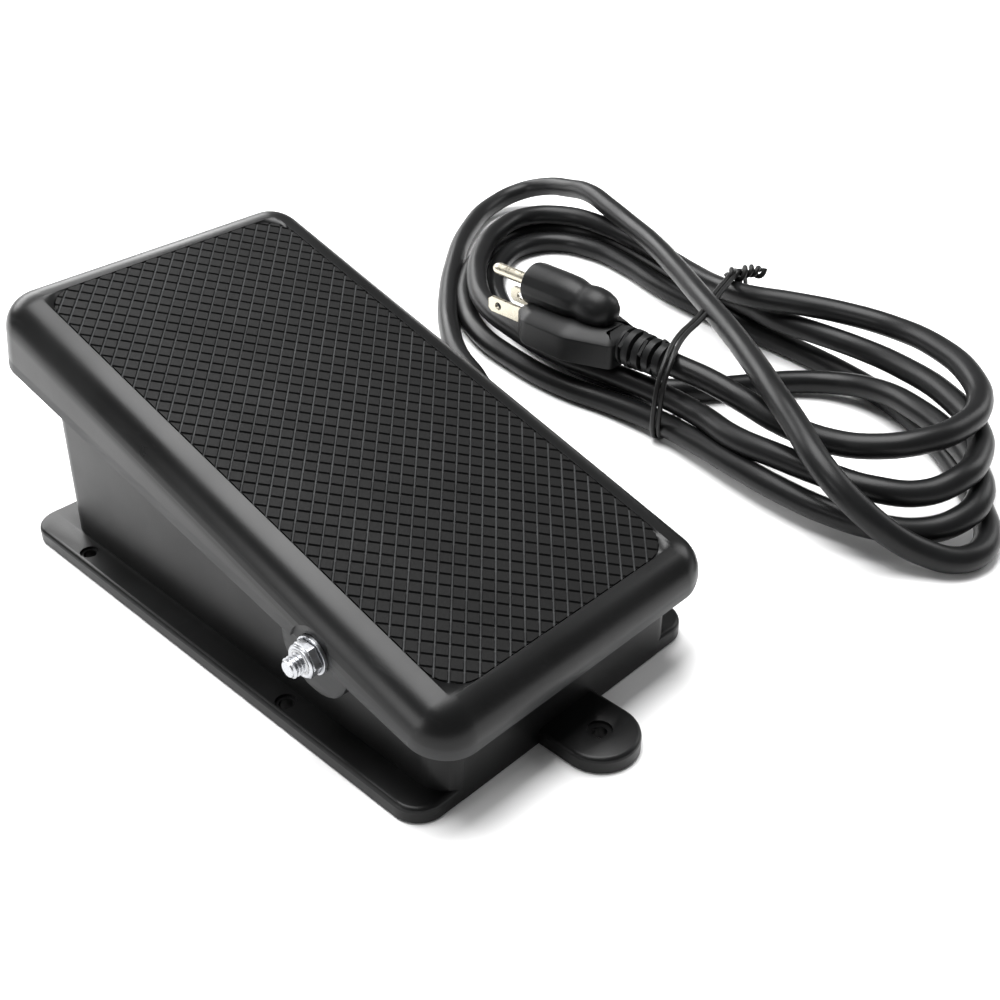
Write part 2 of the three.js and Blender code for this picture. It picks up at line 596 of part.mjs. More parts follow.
// ---- assembly -----------------------------------------------------------
add('base_housing', baseHousing(), BLACK_PLASTIC);
add('bottom_cover', bottomCover(), BLACK_PLASTIC);
COVER_SCREWS.forEach(([x, y], i) => {
  add(`cover_screw_${i + 1}`, screw(1.25, 2.8, 9), ZINC, [x, y, 0.35]);
});
[[34, 52], [-34, 52], [34, -62], [-34, -62]].forEach(([x, y], i) => {
  add(`rubber_foot_${i + 1}`, rubberFoot(), MAT_RUBBER, [x, y, 0]);
});

add('treadle', treadle(), TREADLE_PLASTIC, [0, 0, 0], [0, 0, 0], treadleFrame);
add('tread_mat', treadMat(), MAT_RUBBER, [0, 0, 0], [0, 0, 0], treadleFrame);

add('pivot_bolt', pivotBolt(), ZINC, [0, ...PIVOT], [0, Math.PI / 2, 0]);
add('nut_washer', washer(), ZINC, [-LUG_OUTER - GAP, ...PIVOT], [0, -Math.PI / 2, 0]);
add('lock_nut', lockNut(), ZINC, [-LUG_OUTER - 1.9, ...PIVOT], [0, -Math.PI / 2, 0]);
add('head_washer', washer(), ZINC, [LUG_OUTER + GAP, ...PIVOT], [0, Math.PI / 2, 0]);
const bushSeat = BODY_WIDTH / 2 - (PIVOT[1] - FLANGE_TOP) * DRAFT + 0.4;
add('left_bush', pivotBush(), NYLON, [-bushSeat, ...PIVOT], [0, -Math.PI / 2, 0]);
add('right_bush', pivotBush(), NYLON, [bushSeat, ...PIVOT], [0, Math.PI / 2, 0]);

add('return_spring', returnSpring(), SPRING_STEEL, [0, SPRING_Y, SPRING_BOTTOM]);
add('push_rod', pushRod(), NYLON, [0, ROD_Y, 0]);
add('wiper_carriage', wiperCarriage(), NYLON);
add('slide_potentiometer', slidePotentiometer(), BLACK_PLASTIC);
add('circuit_board', geometryOf(box(74, 1.6, 40, 0, BOARD_Y, 26)), BOARD_GREEN);
add('heat_sink', heatSink(), ALUMINIUM);
add('choke_coil', chokeCoil(), COPPER, [20, BOARD_Y + 5, 24], [Math.PI / 2, 0, 0]);
add('suppressor_capacitor', geometryOf(box(14, 7, 12, 14, BOARD_Y - 4.8, 18)), BLACK_PLASTIC);
add('triac', triac(), BLACK_PLASTIC);
add('outlet_socket', outletSocket(), BLACK_PLASTIC);
[-SOCKET_SCREW_X, SOCKET_SCREW_X].forEach((x, i) => {
  add(`socket_screw_${i + 1}`, screw(1.25, 2.8, 11), ZINC, [x, BODY_REAR + 2.7, SOCKET_CENTRE_Z], [Math.PI / 2, 0, 0]);
});
[-30, 30].forEach((x, i) => {
  add(`rest_pad_${i + 1}`, lidPad(x, -80, 5, 1.4), MAT_RUBBER);
  add(`end_buffer_${i + 1}`, lidPad(x, 70, 5, 1.4), MAT_RUBBER);
});

add('cord_gland', cordGland(), BLACK_PLASTIC, [0, EXIT_Y, EXIT_Z], [0, Math.PI / 2, 0]);
add('cord_clamp', cordClamp(), BLACK_PLASTIC);
CLAMP_SCREW_Y.forEach((y, i) => {
  add(`clamp_screw_${i + 1}`, screw(1.25, 2.8, 22), ZINC, [CLAMP_X, y, 9]);
});
add('cord_inner_end', geometryOf(crossPost(CORD_DIAMETER / 2 - 0.3, 25, 57, EXIT_Y, EXIT_Z, 16)), CORD_PVC);
add('line_wire_in', tube(LINE_IN, 1.1, 8, 12), WIRE_BLACK);
add('neutral_wire_in', tube(NEUTRAL_IN, 1.1, 8, 12), WIRE_WHITE);
add('earth_wire', tube(EARTH, 1.1, 8, 26), WIRE_GREEN);
add('line_wire_out', tube(LINE_OUT, 1.1, 8, 12), WIRE_BLACK);
add('neutral_wire_out', tube(NEUTRAL_OUT, 1.1, 8, 12), WIRE_WHITE);
add('cord_free_run', tube(FREE_ROUTE, CORD_DIAMETER / 2, 10, 60), CORD_PVC);
add('cord_hank', cordHank(), CORD_PVC);
add('twist_tie', twistTie(), CORD_PVC);

const plug = new THREE.Group();
plug.position.set(...PLUG_PLACE);
plug.rotation.set(...PLUG_TURN);
assembly.add(plug);
add('plug_body', plugBody(), BLACK_PLASTIC, [0, 0, 0], [0, 0, 0], plug);
add('plug_relief', plugRelief(), BLACK_PLASTIC, [-PLUG_BODY_LENGTH - GAP, 0, 7.5], [0, 0, 0], plug);
add('ground_pin', groundPin(), BRASS, [GAP, 0, GROUND_PIN_Z], [0, 0, 0], plug);
add('line_blade', blade(6.3), BRASS, [GAP, BLADE_Y, BLADE_Z], [0, 0, 0], plug);
add('neutral_blade', blade(6.3), BRASS, [GAP, -BLADE_Y, BLADE_Z], [0, 0, 0], plug);

export default group;
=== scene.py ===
# Foot control pedal with a hinged treadle and a coiled mains cord: the visual model.
# Points are written in millimetres about the middle of the base, as in the CAD source,
# and turned to metres in the row frame by place().
import math

import bmesh
import bpy
from mathutils import Matrix, Vector


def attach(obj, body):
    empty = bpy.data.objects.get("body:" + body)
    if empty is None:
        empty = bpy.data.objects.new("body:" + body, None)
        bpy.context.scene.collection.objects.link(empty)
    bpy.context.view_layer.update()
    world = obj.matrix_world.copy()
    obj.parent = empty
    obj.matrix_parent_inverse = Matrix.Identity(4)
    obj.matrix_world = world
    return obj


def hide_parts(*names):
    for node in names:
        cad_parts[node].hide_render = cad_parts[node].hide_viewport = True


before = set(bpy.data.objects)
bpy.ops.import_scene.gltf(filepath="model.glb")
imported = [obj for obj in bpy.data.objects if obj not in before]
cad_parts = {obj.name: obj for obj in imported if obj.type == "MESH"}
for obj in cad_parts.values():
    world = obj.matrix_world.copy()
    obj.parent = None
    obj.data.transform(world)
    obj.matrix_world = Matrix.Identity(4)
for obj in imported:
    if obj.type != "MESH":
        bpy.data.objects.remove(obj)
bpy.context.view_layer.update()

MM = 0.001
SHIFT = Vector((0.0013, 0.0107, 0.0))
TILT = math.radians(15.85)
TREADLE_FRONT = (-102.8, 35.0)
PIVOT = (-53.0, 34.0)
GROOVE_PITCH, GROOVE_DEPTH = 3.8, 0.5
ROW_PHASE, CROSS_PHASE = 3.3, 0.7
BASE, TREADLE, PLUNGER = "pedal_base", "treadle", "plunger"

TO_FRAME = Matrix.Translation(SHIFT) @ Matrix.Scale(MM, 4)
TO_TREADLE = (
    TO_FRAME
    @ Matrix.Translation((0, TREADLE_FRONT[0], TREADLE_FRONT[1]))
    @ Matrix.Rotation(TILT, 4, "X")
)


def place(x, y, z):
    return Vector((x, y, z)) * MM + SHIFT


# ---- camera -------------------------------------------------------------
CAMERA_SPOT = (-202.4, -262.7, 252.5)
CAMERA_LENS = 47.48
LOOK_DOWN, LOOK_RIGHT = 34.13, 46.02
camera_data = bpy.data.cameras.new("camera")
camera_data.sensor_width = 36.0
camera_data.lens = CAMERA_LENS
camera_data.clip_start = 0.01
camera_data.clip_end = 20.0
camera = bpy.data.objects.new("camera", camera_data)
camera.location = place(*CAMERA_SPOT)
camera.rotation_euler = (math.radians(90 - LOOK_DOWN), 0.0, math.radians(-LOOK_RIGHT))
bpy.context.scene.collection.objects.link(camera)
bpy.context.scene.camera = camera


# ---- node helpers for materials ------------------------------------------
class Nodes:
    def __init__(self, name):
        self.material = bpy.data.materials.new(name)
        self.material.use_nodes = True
        self.tree = self.material.node_tree
        self.shader = self.tree.nodes["Principled BSDF"]
        self.coords = self.tree.nodes.new("ShaderNodeTexCoord").outputs["Object"]

    def new(self, kind, **settings):
        node = self.tree.nodes.new(kind)
        for key, value in settings.items():
            setattr(node, key, value)
        return node

    def feed(self, socket, value):
        if isinstance(value, bpy.types.NodeSocket):
            self.tree.links.new(value, socket)
        else:
            socket.default_value = value

    def mapped(self, scale=(1, 1, 1), rotation=(0, 0, 0), offset=(0, 0, 0)):
        node = self.new("ShaderNodeMapping")
        self.feed(node.inputs["Vector"], self.coords)
        node.inputs["Scale"].default_value = scale
        node.inputs["Rotation"].default_value = rotation
        node.inputs["Location"].default_value = offset
        return node.outputs["Vector"]

    def noise(self, scale, detail=3.0, rough=0.55, vector=None, distortion=0.0):
        node = self.new("ShaderNodeTexNoise")
        self.feed(node.inputs["Vector"], self.coords if vector is None else vector)
        node.inputs["Scale"].default_value = scale
        node.inputs["Detail"].default_value = detail
        node.inputs["Roughness"].default_value = rough
        node.inputs["Distortion"].default_value = distortion
        return node.outputs["Fac"]

    def span(self, value, low, high, out_low, out_high):
        node = self.new("ShaderNodeMapRange")
        self.feed(node.inputs["Value"], value)
        node.inputs["From Min"].default_value = low
        node.inputs["From Max"].default_value = high
        node.inputs["To Min"].default_value = out_low
        node.inputs["To Max"].default_value = out_high
        return node.outputs["Result"]

    def math(self, operation, a, b=0.0):
        node = self.new("ShaderNodeMath", operation=operation)
        self.feed(node.inputs[0], a)
        self.feed(node.inputs[1], b)
        return node.outputs[0]

    def mix(self, factor, a, b):
        node = self.new("ShaderNodeMix", data_type="RGBA")
        self.feed(node.inputs["Factor"], factor)
        self.feed(node.inputs["A"], a)
        self.feed(node.inputs["B"], b)
        return node.outputs["Result"]

    def bump(self, height, strength, distance, under=None):
        node = self.new("ShaderNodeBump")
        node.inputs["Strength"].default_value = strength
        node.inputs["Distance"].default_value = distance
        self.feed(node.inputs["Height"], height)
        if under is not None:
            self.feed(node.inputs["Normal"], under)
        return node.outputs["Normal"]

    def parts(self, vector=None):
        node = self.new("ShaderNodeSeparateXYZ")
        self.feed(node.inputs[0], self.coords if vector is None else vector)
        return node.outputs

    def finish(self, color, roughness, metallic=0.0, normal=None, specular=0.5):
        self.feed(self.shader.inputs["Base Color"], color)
        self.feed(self.shader.inputs["Roughness"], roughness)
        self.shader.inputs["Metallic"].default_value = metallic
        self.shader.inputs["Specular IOR Level"].default_value = specular
        if normal is not None:
            self.feed(self.shader.inputs["Normal"], normal)
        return self.material


def grey(value, tint=(1.0, 1.0, 1.0)):
    return (value * tint[0], value * tint[1], value * tint[2], 1.0)


def moulded(name, dark, light, rough, grain=0.12, grain_scale=2600.0, scuff=0.25):
    """Moulded plastic: cloudy colour, fine grain and faint rubbed streaks."""
    n = Nodes(name)
    cloud = n.noise(38.0, 4.0)
    streaks = n.noise(1.0, 5.0, 0.7, n.mapped((90.0, 900.0, 900.0), (0.2, 0.3, 0.5)))
    fine = n.noise(grain_scale, 2.0)
    rubbed = n.span(streaks, 0.56, 0.74, 0.0, 1.0)
    patches = n.span(n.noise(17.0, 2.0), 0.45, 0.65, 0.0, scuff)
    worn = n.math("MULTIPLY", rubbed, patches)
    color = n.mix(cloud, dark, light)
    color = n.mix(worn, color, tuple(c * 3.0 + 0.01 for c in light[:3]) + (1.0,))
    base_rough = n.span(cloud, 0.3, 0.7, rough[0], rough[1])
    roughness = n.math("ADD", base_rough, n.math("MULTIPLY", worn, 0.35))
    normal = n.bump(fine, grain, 0.00012)
    normal = n.bump(streaks, 0.06, 0.0002, normal)
    return n.finish(color, roughness, 0.0, normal, 0.2)


def metal(name, color, rough, scratch=0.12):
    """Plated metal with drawn marks and a slightly clouded lustre."""
    n = Nodes(name)
    cloud = n.noise(420.0, 4.0)
    drawn = n.noise(1.0, 4.0, 0.6, n.mapped((400.0, 6000.0, 6000.0)))
    tone = n.mix(cloud, tuple(c * 0.78 for c in color[:3]) + (1.0,), color)
    roughness = n.math("ADD", n.span(cloud, 0.3, 0.7, rough - 0.06, rough + 0.08),
                       n.math("MULTIPLY", drawn, 0.08))
    return n.finish(tone, roughness, 1.0, n.bump(drawn, scratch, 0.0001))


def treadle_axes(n):
    """Places along the treadle's own axes, in metres."""
    back = -(Matrix.Rotation(-TILT, 3, "X") @ TO_TREADLE.translation)
    return n.parts(n.mapped((1, 1, 1), (-TILT, 0, 0), tuple(back)))


def treadle_plastic():
    """The treadle's plastic, with a painted reflection of the floor as a paler band low on the skirt, and
    fine rubbed smears.
    """
    n = Nodes("treadle_plastic")
    axes = treadle_axes(n)
    slope = n.math("MULTIPLY", axes[1], 0.0658)
    height = n.math("ADD", n.math("ADD", axes[2], slope), 0.0115)
    cloud = n.noise(30.0, 5.0)
    fine = n.noise(2400.0, 2.0)
    # painted reflection: the skirt is coloured paler in a ragged band low down, where the white floor
    # reflects in it
    band = n.span(height, 0.0040, 0.0033, 0.0, 1.0)
    ragged = n.span(n.noise(1.0, 6.0, 0.7, n.mapped((120.0, 60.0, 500.0))), 0.35, 0.62, 0.45, 1.0)
    floor_reflection_band = n.math("MULTIPLY", band, n.math("MULTIPLY", ragged, 0.62))
    smear = n.noise(1.0, 6.0, 0.75, n.mapped((210.0, 35.0, 210.0), (0, 0, 0.25)), 0.6)
    smears = n.math("MULTIPLY", n.span(smear, 0.60, 0.74, 0.0, 1.0), 0.22)
    # mask of the painted floor reflection together with the real rubbed smears
    reflection_and_smears = n.math("MAXIMUM", floor_reflection_band, smears)
    color = n.mix(cloud, grey(0.0026), grey(0.0046, (0.97, 1.0, 1.05)))
    color = n.mix(reflection_and_smears, color, grey(0.026, (0.97, 1.0, 1.04)))
    rough = n.math("ADD", n.span(cloud, 0.3, 0.7, 0.27, 0.36), n.math("MULTIPLY", reflection_and_smears, 0.28))
    normal = n.bump(fine, 0.10, 0.00012)
    normal = n.bump(n.noise(260.0, 3.0), 0.05, 0.0002, normal)
    return n.finish(color, rough, 0.0, normal, 0.24)


def circuit_green():
    n = Nodes("circuit_board")
    cell = n.new("ShaderNodeTexVoronoi", feature="DISTANCE_TO_EDGE")
    n.feed(cell.inputs["Vector"], n.coords)
    cell.inputs["Scale"].default_value = 160.0
    trace = n.span(cell.outputs["Distance"], 0.03, 0.06, 1.0, 0.0)
    color = n.mix(trace, (0.012, 0.10, 0.035, 1), (0.03, 0.22, 0.08, 1))
    roughness = n.span(n.noise(300.0), 0.3, 0.7, 0.3, 0.5)
    return n.finish(color, roughness, 0.0, n.bump(trace, 0.2, 0.0001))


def soft_rubber(name, dark, light, rough):
    n = Nodes(name)
    cloud = n.noise(60.0, 4.0)
    fine = n.noise(1800.0, 3.0)
    color = n.mix(cloud, dark, light)
    roughness = n.span(fine, 0.3, 0.7, rough - 0.07, rough + 0.07)
    return n.finish(color, roughness, 0.0, n.bump(fine, 0.25, 0.00015), 0.45)


def mat_rubber():
    """Matt rubber with painted highlights on the groove walls, strong in the rows up and to the right, faint
    across them.
    """
    n = Nodes("mat_rubber")
    axes = treadle_axes(n)
    pitch = GROOVE_PITCH * MM
    # painted highlight: the groove walls are coloured paler where side light catches them, the rows up and to
    # the right far more than the cross rows
    groove_highlight = []
    for sign, phase, amount in ((-1.0, ROW_PHASE, 0.85), (1.0, CROSS_PHASE, 0.16)):
        sloped = n.math("ADD", axes[0], n.math("MULTIPLY", axes[1], sign))
        run = n.math("MULTIPLY", sloped, math.sqrt(0.5))
        turns = n.math("DIVIDE", n.math("SUBTRACT", run, phase * MM), pitch)
        off_line = n.math("ABSOLUTE", n.math("SUBTRACT", turns, n.math("ROUND", turns)))
        groove_highlight.append(n.span(off_line, 0.085, 0.05, 0.0, amount))
    patchy = n.span(n.noise(55.0, 4.0), 0.3, 0.65, 0.45, 1.0)
    painted_groove_highlight = n.math("MULTIPLY", n.math("MAXIMUM", groove_highlight[0], groove_highlight[1]), patchy)
    cloud = n.noise(60.0, 4.0)
    fine = n.noise(1800.0, 3.0)
    color = n.mix(cloud, grey(0.0020), grey(0.0034))
    color = n.mix(n.span(n.noise(9.0, 2.0), 0.5, 0.8, 0.0, 0.25), color, grey(0.007))
    # painted highlight mixed into the grooves
    color = n.mix(painted_groove_highlight, color, grey(0.060, (0.98, 1.0, 1.02)))
    roughness = n.span(fine, 0.3, 0.7, 0.42, 0.56)
    return n.finish(color, roughness, 0.0, n.bump(fine, 0.25, 0.00015), 0.10)


HOUSING = moulded("housing_plastic", grey(0.0028), grey(0.0050, (0.97, 1.0, 1.05)), (0.30, 0.40))
TREADLE_PLASTIC = treadle_plastic()
INNER_BLACK = moulded("inner_black_plastic", grey(0.012), grey(0.02), (0.45, 0.55))
MAT = mat_rubber()
FOOT_RUBBER = soft_rubber("foot_rubber", grey(0.012), grey(0.02), 0.8)
CORD = moulded("cord_jacket", grey(0.0036), grey(0.0066, (0.96, 1.0, 1.07)), (0.32, 0.42),
               0.16, 1900.0, 0.12)
PLUG = moulded("plug_pvc", grey(0.0048), grey(0.0085, (0.96, 1.0, 1.06)), (0.34, 0.44),
               0.15, 1700.0, 0.12)
TIE = moulded("tie_pvc", grey(0.006), grey(0.011), (0.35, 0.5), 0.2, 1500.0, 0.1)
ZINC = metal("zinc_plate", (0.50, 0.51, 0.53, 1), 0.26)
SPRING = metal("spring_steel", (0.42, 0.43, 0.45, 1), 0.3)
PIN = metal("plated_brass_pin", (0.60, 0.56, 0.46, 1), 0.24, 0.08)
ALUMINIUM = metal("aluminium", (0.66, 0.67, 0.68, 1), 0.35)
COPPER = metal("enamelled_copper", (0.62, 0.25, 0.09, 1), 0.28, 0.4)
NYLON = moulded("nylon", grey(0.62, (1, 0.98, 0.93)), grey(0.72, (1, 0.98, 0.94)), (0.4, 0.5), 0.1)
LOCK_RING = moulded("lock_ring_nylon", grey(0.55, (0.98, 1, 1.04)), grey(0.68), (0.35, 0.45), 0.1)
BOARD = circuit_green()
WIRE_BLACK = moulded("wire_black", grey(0.01), grey(0.016), (0.35, 0.45))
WIRE_WHITE = moulded("wire_white", grey(0.6), grey(0.7), (0.35, 0.45))
WIRE_GREEN = moulded("wire_green", (0.02, 0.22, 0.04, 1), (0.03, 0.3, 0.06, 1), (0.35, 0.45))


# ---- mesh helpers ---------------------------------------------------------
def to_object(name, bm, material, matrix=TO_FRAME, sharp=32.0):
    bmesh.ops.recalc_face_normals(bm, faces=bm.faces)
    bm.transform(matrix)
    mesh = bpy.data.meshes.new(name)
    bm.to_mesh(mesh)
    bm.free()
    mesh.polygons.foreach_set("use_smooth", [True] * len(mesh.polygons))
    mesh.set_sharp_from_angle(angle=math.radians(sharp))
    mesh.materials.append(material)
    piece = bpy.data.objects.new(name, mesh)
    bpy.context.scene.collection.objects.link(piece)
    return piece


def soften(piece, width, segments=2, angle=30.0):
    bevel = piece.modifiers.new("soft_edges", "BEVEL")
    bevel.width = width * MM
    bevel.segments = segments
    bevel.limit_method = "ANGLE"
    bevel.angle_limit = math.radians(angle)
    bevel.harden_normals = True
    return piece


def refined(name, node, material, bevel=0.25, segments=2, angle=30.0, flatten=0.4):
    """A copy of a CAD node's mesh, merged and with softened edges, that stands for it."""
    bm = bmesh.new()
    bm.from_mesh(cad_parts[node].data)
    bmesh.ops.remove_doubles(bm, verts=bm.verts, dist=2e-6)
    if flatten:
        bmesh.ops.dissolve_limit(bm, angle_limit=math.radians(flatten), verts=bm.verts, edges=bm.edges)
    piece = to_object(name, bm, material, Matrix.Identity(4), angle)
    if bevel:
        soften(piece, bevel, segments, angle)
    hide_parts(node)
    return piece


def lathe(bm, profile, steps=40, matrix=Matrix.Identity(4)):
    """Turns [radius, height] pairs round Z, then moves the result by matrix. Millimetres."""
    before = set(bm.verts)
    verts = [bm.verts.new((r, 0.0, h)) for r, h in profile]
    edges = [bm.edges.new(pair) for pair in zip(verts, verts[1:])]
    bmesh.ops.spin(bm, geom=verts + edges, cent=(0, 0, 0), axis=(0, 0, 1), angle=2 * math.pi,
                   steps=steps, use_merge=True, use_duplicate=False)
    made = [v for v in bm.verts if v not in before]
    bmesh.ops.remove_doubles(bm, verts=made, dist=1e-4)
    made = [v for v in bm.verts if v not in before]
    bmesh.ops.transform(bm, matrix=matrix, verts=made)


def block(bm, size, centre, matrix=Matrix.Identity(4)):
    full = matrix @ Matrix.Translation(centre) @ Matrix.Diagonal((*size, 1.0))
    bmesh.ops.create_cube(bm, size=1.0, matrix=full)


def smooth_curve(name, points, radius, material, resolution=6, sides=6):
    data = bpy.data.curves.new(name, "CURVE")
    data.dimensions = "3D"
    data.resolution_u = resolution
    data.render_resolution_u = resolution
    data.bevel_depth = 1.0
    data.bevel_resolution = sides
    data.use_fill_caps = True
    spline = data.splines.new("BEZIER")
    spline.bezier_points.add(len(points) - 1)
    for spot, xyz in zip(spline.bezier_points, points):
        spot.co = place(*xyz)
        spot.handle_left_type = spot.handle_right_type = "AUTO"
        spot.radius = radius * MM
    data.materials.append(material)
    piece = bpy.data.objects.new(name, data)
    bpy.context.scene.collection.objects.link(piece)
    return piece


# ---- mains cord -------------------------------------------------------------
CORD_DIAMETER = 8.8
FREE_ROUTE = [
    (72.4, 8, 18), (81, 9.2, 14.8), (90, 14.5, 10), (98, 25, 6.3), (106, 41, 4.9),
    (115.5, 58, 4.8), (123.3, 74.7, 4.8), (136.3, 92.9, 4.8), (152.8, 111.1, 4.8),
    (182.9, 138.2, 4.8), (217.2, 162.9, 4.8), (247, 175.1, 5.6), (262.6, 172.1, 8.6),
    (268.2, 160.3, 12.8),
    (265.9, 143, 17.2), (257.2, 121.6, 22.6), (247.7, 101.4, 23.6), (238.2, 81.3, 23.9),
    (227.3, 60.7, 25), (207.9, 31.4, 27.2), (193.7, 11.8, 29), (169.6, -22.4, 31.5),
    (152.6, -44.7, 32.8), (141.5, -59.2, 33), (132.1, -73.2, 31.8), (119.9, -94.7, 26.5),
    (119.6, -109.6, 18.5), (124.5, -120.4, 11), (129.5, -128.4, 7), (134.3, -134.5, 5.2),
    (140.7, -138, 4.8),
]
# the coiled stretch: three turns and a half, laid on one another from the floor up
HANK_ROUTE = [
    (148.5, -138.2, 4.7), (157, -135, 4.6), (165.5, -128.8, 4.6), (175, -120, 4.6),
    (185, -109.5, 4.6), (195, -97, 4.6), (204.5, -82, 4.6), (212, -64, 4.6), (217.5, -44, 4.6),
    (221, -22, 4.6), (223, 2, 4.6), (226, 30, 4.6), (231, 58, 4.6), (238, 82, 4.6),
    (240.5, 104, 4.6), (235, 122, 4.6), (220, 130, 4.6), (202, 126, 4.6), (184, 113, 4.6),
    (169, 95, 4.6), (159, 74, 4.6), (153, 50, 4.6), (151, 26, 4.6), (155, 5, 4.6), (166, -10, 4.6),
    (181, -21, 4.6), (196, -33, 5), (205.5, -48, 6.5), (206.3, -64.8, 9.5), (197.7, -84.8, 13.2),
    (187.1, -104.8, 14), (173.4, -120.5, 14), (158.6, -129.3, 13.7), (147.4, -129, 11.5),
    (137.5, -122.5, 9), (129, -111, 9), (125.2, -95, 9), (125.1, -76.2, 9), (128, -57, 8.5),
    (132.2, -37.8, 7.5), (136, -18, 6), (136.5, 5, 4.8), (134, 29, 4.6), (136.5, 57, 4.6),
    (143, 82, 4.6), (156, 103, 4.6), (176, 122.5, 4.6), (200, 137, 4.6), (225, 142.5, 4.6),
    (244, 137, 4.6), (253.5, 119, 4.6), (251.5, 95, 4.6), (245, 70, 4.6), (238, 46, 5),
    (232.5, 25, 8), (226, 6, 12.5), (219, -12, 15.5), (217.5, -30, 17), (218, -48, 17),
    (213.8, -68, 18.2), (200.2, -94.6, 21.1), (184, -114.3, 21.4), (169.2, -121.7, 21.4),
    (154.5, -123.2, 21.1), (143.2, -117.1, 18.1), (135, -104, 17.5), (132, -88, 17.2),
    (131.2, -70, 16.8), (132.5, -52, 15.5), (138.5, -33, 14.2), (142, -14, 13.3), (142, 10, 13.2),
    (140, 35.3, 13.3), (143.5, 62, 13.3), (151, 86, 13.3), (166.4, 107, 13.3), (188, 125.5, 13.3),
    (212.4, 138, 13.3), (232, 139.5, 13.3), (245.5, 128, 13.3), (249.5, 108.1, 13.2),
    (247, 86, 13), (240.5, 63, 13.5), (231, 40, 15.5), (221, 20, 19.5), (215, 2, 23.5),
    (217.5, -17, 25.8), (223, -37, 26.2), (224.9, -57.1, 26.5), (216.6, -80.1, 29.1),
    (202.8, -100, 30.1), (187, -111.3, 30.1), (171.2, -113.8, 30), (154.2, -109.3, 29.5),
    (145, -97.7, 26.4), (140.6, -83.1, 24.1), (141.5, -64, 22.8), (145, -45, 23),
    (145.5, -30, 24.6), (144.5, -18, 25.7), (144.5, -11, 25.8),
]
cord = smooth_curve("mains_cord", FREE_ROUTE + HANK_ROUTE, CORD_DIAMETER / 2, CORD, 6, 6)
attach(cord, BASE)
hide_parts("cord_free_run", "cord_hank")


def curve_length(piece):
    graph = bpy.context.evaluated_depsgraph_get()
    bevel = piece.data.bevel_depth
    piece.data.bevel_depth = 0.0
    graph.update()
    mesh = piece.evaluated_get(graph).to_mesh()
    spots = [vert.co for vert in mesh.vertices]
    total = sum((spots[e.vertices[0]] - spots[e.vertices[1]]).length for e in mesh.edges)
    piece.evaluated_get(graph).to_mesh_clear()
    piece.data.bevel_depth = bevel
    return total


CORD_LENGTH = curve_length(cord)


# ---- strain relief at the housing --------------------------------------------
CORD_EXIT_Y, CORD_EXIT_Z = 8, 18
SIDE_WALL = 46.2


def gland():
    bm = bmesh.new()
    wall = SIDE_WALL
    inner = CORD_DIAMETER / 2 + 0.15
    profile = [(inner, wall - 5.8), (6.6, wall - 5.8), (6.6, wall - 3.1), (5.1, wall - 3.1),
               (5.1, wall + 0.3), (7.6, wall + 0.3), (8.0, wall + 0.8), (8.0, wall + 3.2), (7.6, wall + 4.0)]
    for i in range(5):
        start = wall + 5.4 + i * 4.0
        radius = 7.0 - i * 0.3
        profile += [(radius - 1.4, start - 1.2), (radius - 1.4, start),
                    (radius, start + 0.3), (radius, start + 2.6)]
    profile += [(5.3, 71.2), (5.1, 71.9), (inner, 71.9), (inner, wall - 5.8)]
    turn = Matrix.Translation((0, CORD_EXIT_Y, CORD_EXIT_Z)) @ Matrix.Rotation(math.pi / 2, 4, "Y")
    lathe(bm, profile, 40, turn)
    for side in (-1, 1):
        block(bm, (22, 1.1, 2.6), (wall + 14, CORD_EXIT_Y + side * 5.2, CORD_EXIT_Z))
    return to_object("cord_strain_relief", bm, HOUSING)


relief = soften(gland(), 0.2, 1, 50)
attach(relief, BASE)
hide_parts("cord_gland")
cord_inner = refined("cord_end_inside", "cord_inner_end", CORD, 0.2)
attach(cord_inner, BASE)


# ---- plug -------------------------------------------------------------------
PLUG_SPOT = (144.5, 54, 18.3)
PLUG_TO_FRAME = TO_FRAME @ Matrix.Translation(PLUG_SPOT) @ Matrix.Rotation(math.pi / 2, 4, "Z")
GROUND_PIN_Z, RELIEF_Z = 17.7, 7.5
PLUG_LENGTH, PLUG_THICKNESS = 47.0, 13


def outline_block(bm, outline, z0, z1):
    face = bm.faces.new([bm.verts.new((x, y, z0)) for x, y in outline])
    out = bmesh.ops.extrude_face_region(bm, geom=[face])
    lifted = [g for g in out["geom"] if isinstance(g, bmesh.types.BMVert)]
    bmesh.ops.translate(bm, vec=(0, 0, z1 - z0), verts=lifted)


